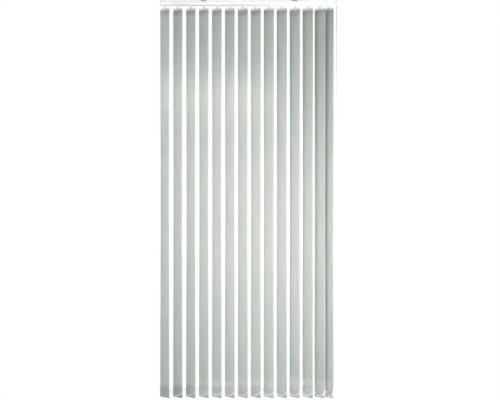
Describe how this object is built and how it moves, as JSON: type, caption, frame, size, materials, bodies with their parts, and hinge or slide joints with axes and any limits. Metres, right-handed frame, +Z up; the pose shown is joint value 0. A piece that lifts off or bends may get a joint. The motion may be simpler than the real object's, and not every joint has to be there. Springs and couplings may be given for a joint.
{
  "type": "vertical blind",
  "caption": "Ceiling-hung vertical blind: traversing head rail with turning fabric vanes, bottom chains, a tilt chain and a weighted draw cord.",
  "frame": {"origin": "middle of the ceiling line: halfway between the two bracket holes, at the top face of the brackets", "axes": "+X along the rail towards the control end, -Y towards the room, +Z up"},
  "size_m": [1.1282, 0.077, 2.505],
  "materials": {
    "rail_white": "satin white powder coat",
    "white_plastic": "moulded, satin",
    "carrier_plastic": "moulded acetal, satin",
    "hanger_plastic": "moulded, satin",
    "vane_fabric": "woven polyester, stiffened, sage grey",
    "chain_white": "moulded, glossy",
    "cord_white": "braided polyester",
    "rod_aluminium": "extruded",
    "bracket_steel": "zinc plated"
  },
  "bodies": {
    "root": {"head_rail": "rail_white", "left_end_cap": "white_plastic", "control_housing": "white_plastic", "left_bracket": "bracket_steel", "right_bracket": "bracket_steel", "pulley_pins": "bracket_steel", "draw_cord_run": "cord_white", "draw_cord": "cord_white", "cord_weight": "white_plastic", "tilt_chain": "chain_white", "chain_connector": "chain_white", "carrier_14": "carrier_plastic"},
    "carriage_01": {"carrier_01": "carrier_plastic"},
    "carriage_02": {"carrier_02": "carrier_plastic"},
    "carriage_03": {"carrier_03": "carrier_plastic"},
    "carriage_04": {"carrier_04": "carrier_plastic"},
    "carriage_05": {"carrier_05": "carrier_plastic"},
    "carriage_06": {"carrier_06": "carrier_plastic"},
    "carriage_07": {"carrier_07": "carrier_plastic"},
    "carriage_08": {"carrier_08": "carrier_plastic"},
    "carriage_09": {"carrier_09": "carrier_plastic"},
    "carriage_10": {"carrier_10": "carrier_plastic"},
    "carriage_11": {"carrier_11": "carrier_plastic"},
    "carriage_12": {"carrier_12": "carrier_plastic"},
    "carriage_13": {"carrier_13": "carrier_plastic"},
    "vane_01": {"vane_fittings_01": "hanger_plastic", "vane_fabric_01": "vane_fabric"},
    "vane_02": {"vane_fittings_02": "hanger_plastic", "vane_fabric_02": "vane_fabric"},
    "vane_03": {"vane_fittings_03": "hanger_plastic", "vane_fabric_03": "vane_fabric"},
    "vane_04": {"vane_fittings_04": "hanger_plastic", "vane_fabric_04": "vane_fabric"},
    "vane_05": {"vane_fittings_05": "hanger_plastic", "vane_fabric_05": "vane_fabric"},
    "vane_06": {"vane_fittings_06": "hanger_plastic", "vane_fabric_06": "vane_fabric"},
    "vane_07": {"vane_fittings_07": "hanger_plastic", "vane_fabric_07": "vane_fabric"},
    "vane_08": {"vane_fittings_08": "hanger_plastic", "vane_fabric_08": "vane_fabric"},
    "vane_09": {"vane_fittings_09": "hanger_plastic", "vane_fabric_09": "vane_fabric"},
    "vane_10": {"vane_fittings_10": "hanger_plastic", "vane_fabric_10": "vane_fabric"},
    "vane_11": {"vane_fittings_11": "hanger_plastic", "vane_fabric_11": "vane_fabric"},
    "vane_12": {"vane_fittings_12": "hanger_plastic", "vane_fabric_12": "vane_fabric"},
    "vane_13": {"vane_fittings_13": "hanger_plastic", "vane_fabric_13": "vane_fabric"},
    "vane_14": {"vane_fittings_14": "hanger_plastic", "vane_fabric_14": "vane_fabric"},
    "tilt_drive": {"tilt_rod": "rod_aluminium", "chain_wheel": "white_plastic"},
    "idle_wheel": {"idle_pulley": "white_plastic"},
    "front_control_wheel": {"front_control_pulley": "white_plastic"},
    "rear_control_wheel": {"rear_control_pulley": "white_plastic"},
    "front_chain": {"front_chain": "chain_white"},
    "rear_chain": {"rear_chain": "chain_white"}
  },
  "joints": [
    {"name": "traverse", "type": "slide", "parent": "root", "child": "carriage_01", "axis": [1, 0, 0], "range_m": [0, 0.7224], "deforming": ["front_chain", "rear_chain"]},
    {"name": "slide_02", "type": "slide", "parent": "root", "child": "carriage_02", "axis": [1, 0, 0], "range_m": [0, 0.6651]},
    {"name": "slide_03", "type": "slide", "parent": "root", "child": "carriage_03", "axis": [1, 0, 0], "range_m": [0, 0.6077]},
    {"name": "slide_04", "type": "slide", "parent": "root", "child": "carriage_04", "axis": [1, 0, 0], "range_m": [0, 0.5503]},
    {"name": "slide_05", "type": "slide", "parent": "root", "child": "carriage_05", "axis": [1, 0, 0], "range_m": [0, 0.4929]},
    {"name": "slide_06", "type": "slide", "parent": "root", "child": "carriage_06", "axis": [1, 0, 0], "range_m": [0, 0.4355]},
    {"name": "slide_07", "type": "slide", "parent": "root", "child": "carriage_07", "axis": [1, 0, 0], "range_m": [0, 0.3781]},
    {"name": "slide_08", "type": "slide", "parent": "root", "child": "carriage_08", "axis": [1, 0, 0], "range_m": [0, 0.3207]},
    {"name": "slide_09", "type": "slide", "parent": "root", "child": "carriage_09", "axis": [1, 0, 0], "range_m": [0, 0.2633]},
    {"name": "slide_10", "type": "slide", "parent": "root", "child": "carriage_10", "axis": [1, 0, 0], "range_m": [0, 0.2059]},
    {"name": "slide_11", "type": "slide", "parent": "root", "child": "carriage_11", "axis": [1, 0, 0], "range_m": [0, 0.1485]},
    {"name": "slide_12", "type": "slide", "parent": "root", "child": "carriage_12", "axis": [1, 0, 0], "range_m": [0, 0.0911]},
    {"name": "slide_13", "type": "slide", "parent": "root", "child": "carriage_13", "axis": [1, 0, 0], "range_m": [0, 0.0379]},
    {"name": "tilt", "type": "hinge", "parent": "root", "child": "vane_14", "pos_m": [0.5005, 0, -0.05], "axis": [0, 0, -1], "range_deg": [-31, 119]},
    {"name": "tilt_01", "type": "hinge", "parent": "carriage_01", "child": "vane_01", "pos_m": [-0.5315, 0, -0.05], "axis": [0, 0, -1], "range_deg": [-31.5, 119.5]},
    {"name": "tilt_02", "type": "hinge", "parent": "carriage_02", "child": "vane_02", "pos_m": [-0.4495, 0, -0.05], "axis": [0, 0, -1], "range_deg": [-31.5, 119.5]},
    {"name": "tilt_03", "type": "hinge", "parent": "carriage_03", "child": "vane_03", "pos_m": [-0.3675, 0, -0.05], "axis": [0, 0, -1], "range_deg": [-31.5, 119.5]},
    {"name": "tilt_04", "type": "hinge", "parent": "carriage_04", "child": "vane_04", "pos_m": [-0.2855, 0, -0.05], "axis": [0, 0, -1], "range_deg": [-31.5, 119.5]},
    {"name": "tilt_05", "type": "hinge", "parent": "carriage_05", "child": "vane_05", "pos_m": [-0.2035, 0, -0.05], "axis": [0, 0, -1], "range_deg": [-31.5, 119.5]},
    {"name": "tilt_06", "type": "hinge", "parent": "carriage_06", "child": "vane_06", "pos_m": [-0.1215, 0, -0.05], "axis": [0, 0, -1], "range_deg": [-31.5, 119.5]},
    {"name": "tilt_07", "type": "hinge", "parent": "carriage_07", "child": "vane_07", "pos_m": [-0.0395, 0, -0.05], "axis": [0, 0, -1], "range_deg": [-31.5, 119.5]},
    {"name": "tilt_08", "type": "hinge", "parent": "carriage_08", "child": "vane_08", "pos_m": [0.0425, 0, -0.05], "axis": [0, 0, -1], "range_deg": [-31.5, 119.5]},
    {"name": "tilt_09", "type": "hinge", "parent": "carriage_09", "child": "vane_09", "pos_m": [0.1245, 0, -0.05], "axis": [0, 0, -1], "range_deg": [-31.5, 119.5]},
    {"name": "tilt_10", "type": "hinge", "parent": "carriage_10", "child": "vane_10", "pos_m": [0.2065, 0, -0.05], "axis": [0, 0, -1], "range_deg": [-31.5, 119.5]},
    {"name": "tilt_11", "type": "hinge", "parent": "carriage_11", "child": "vane_11", "pos_m": [0.2885, 0, -0.05], "axis": [0, 0, -1], "range_deg": [-31.5, 119.5]},
    {"name": "tilt_12", "type": "hinge", "parent": "carriage_12", "child": "vane_12", "pos_m": [0.3705, 0, -0.05], "axis": [0, 0, -1], "range_deg": [-31.5, 119.5]},
    {"name": "tilt_13", "type": "hinge", "parent": "carriage_13", "child": "vane_13", "pos_m": [0.4465, 0, -0.05], "axis": [0, 0, -1], "range_deg": [-31.5, 119.5]},
    {"name": "rod_turn", "type": "hinge", "parent": "root", "child": "tilt_drive", "pos_m": [0, 0.0095, -0.0157], "axis": [1, 0, 0], "range_deg": [-109.5, 417.5]},
    {"name": "idle_spin", "type": "hinge", "parent": "root", "child": "idle_wheel", "pos_m": [-0.5475, -0.01175, -0.0215], "axis": [0, 0, -1], "range_deg": [-1, 7884.9]},
    {"name": "front_control_spin", "type": "hinge", "parent": "root", "child": "front_control_wheel", "pos_m": [0.546, -0.017, -0.027], "axis": [0, -1, 0], "range_deg": [-1, 7526.5]},
    {"name": "rear_control_spin", "type": "hinge", "parent": "root", "child": "rear_control_wheel", "pos_m": [0.546, -0.0065, -0.027], "axis": [0, 1, 0], "range_deg": [-1, 7526.5]},
    {"name": "front_chain_swing", "type": "hinge", "parent": "vane_14", "child": "front_chain", "pos_m": [0.53475, -0.03546, -2.4615], "axis": [0, 0, -1], "range_deg": [-119.5, 31.5]},
    {"name": "rear_chain_swing", "type": "hinge", "parent": "vane_14", "child": "rear_chain", "pos_m": [0.46625, 0.03546, -2.4615], "axis": [0, 0, -1], "range_deg": [-119.5, 31.5]}
  ],
  "couplings": [
    {"joint": "slide_02", "follows": "traverse", "ratio": 0.92054},
    {"joint": "slide_03", "follows": "traverse", "ratio": 0.84108},
    {"joint": "slide_04", "follows": "traverse", "ratio": 0.76163},
    {"joint": "slide_05", "follows": "traverse", "ratio": 0.68217},
    {"joint": "slide_06", "follows": "traverse", "ratio": 0.60271},
    {"joint": "slide_07", "follows": "traverse", "ratio": 0.52326},
    {"joint": "slide_08", "follows": "traverse", "ratio": 0.4438},
    {"joint": "slide_09", "follows": "traverse", "ratio": 0.36434},
    {"joint": "slide_10", "follows": "traverse", "ratio": 0.28488},
    {"joint": "slide_11", "follows": "traverse", "ratio": 0.20543},
    {"joint": "slide_12", "follows": "traverse", "ratio": 0.12597},
    {"joint": "slide_13", "follows": "traverse", "ratio": 0.052326},
    {"joint": "tilt_01", "follows": "tilt", "ratio": 1},
    {"joint": "tilt_02", "follows": "tilt", "ratio": 1},
    {"joint": "tilt_03", "follows": "tilt", "ratio": 1},
    {"joint": "tilt_04", "follows": "tilt", "ratio": 1},
    {"joint": "tilt_05", "follows": "tilt", "ratio": 1},
    {"joint": "tilt_06", "follows": "tilt", "ratio": 1},
    {"joint": "tilt_07", "follows": "tilt", "ratio": 1},
    {"joint": "tilt_08", "follows": "tilt", "ratio": 1},
    {"joint": "tilt_09", "follows": "tilt", "ratio": 1},
    {"joint": "tilt_10", "follows": "tilt", "ratio": 1},
    {"joint": "tilt_11", "follows": "tilt", "ratio": 1},
    {"joint": "tilt_12", "follows": "tilt", "ratio": 1},
    {"joint": "tilt_13", "follows": "tilt", "ratio": 1},
    {"joint": "rod_turn", "follows": "tilt", "ratio": 3.5},
    {"joint": "idle_spin", "follows": "traverse", "rad_per_m": 190.48},
    {"joint": "front_control_spin", "follows": "traverse", "rad_per_m": 181.82},
    {"joint": "rear_control_spin", "follows": "traverse", "rad_per_m": 181.82},
    {"joint": "front_chain_swing", "follows": "tilt", "ratio": -1},
    {"joint": "rear_chain_swing", "follows": "tilt", "ratio": -1}
  ]
}
